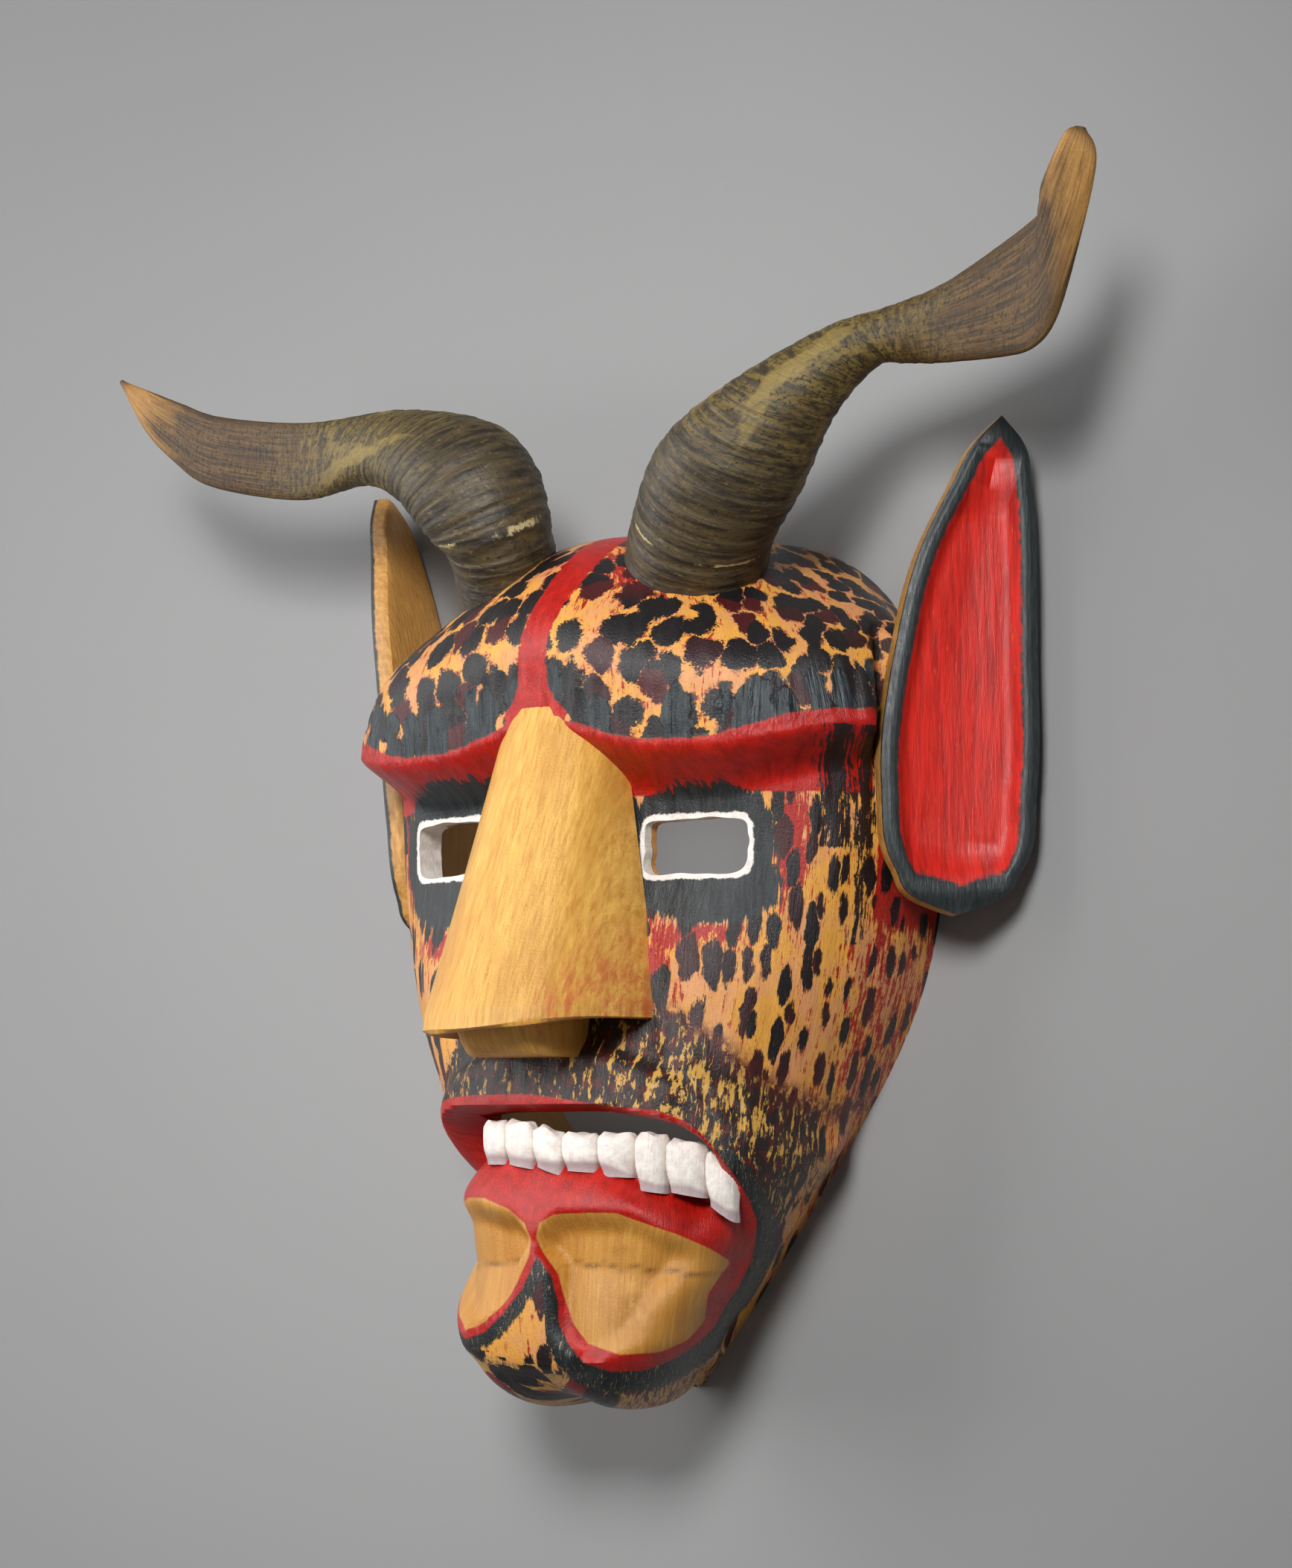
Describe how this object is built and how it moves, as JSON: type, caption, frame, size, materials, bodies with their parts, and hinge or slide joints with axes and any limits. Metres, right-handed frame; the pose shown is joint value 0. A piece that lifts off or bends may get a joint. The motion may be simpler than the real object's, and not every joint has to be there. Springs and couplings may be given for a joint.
{
  "type": "devil mask",
  "caption": "Carved and painted wooden devil face, hollow behind for the wearer, with board ears and twisted goat horns, to be worn or hung on a wall.",
  "frame": {"origin": "on the floor under the middle of the whole mask's box", "axes": "+Z out of the face, away from the floor it lies on; +Y from chin to crown; +X to the mask's own left"},
  "size_m": [0.3552, 0.3496, 0.124],
  "materials": {
    "painted_wood": "hand-painted wood, satin: red, black and ochre spots over bare honey-coloured wood",
    "ear_paint": "hand-painted wood, satin: red hollow, black rim, bare wood behind",
    "horn": "natural goat horn, satin: ringed grey-brown at the foot, streaked olive, honey-coloured at the tip"
  },
  "bodies": {
    "root": {"mask_face": "painted_wood", "left_ear": "ear_paint", "right_ear": "ear_paint", "left_horn": "horn", "right_horn": "horn"}
  },
  "joints": []
}
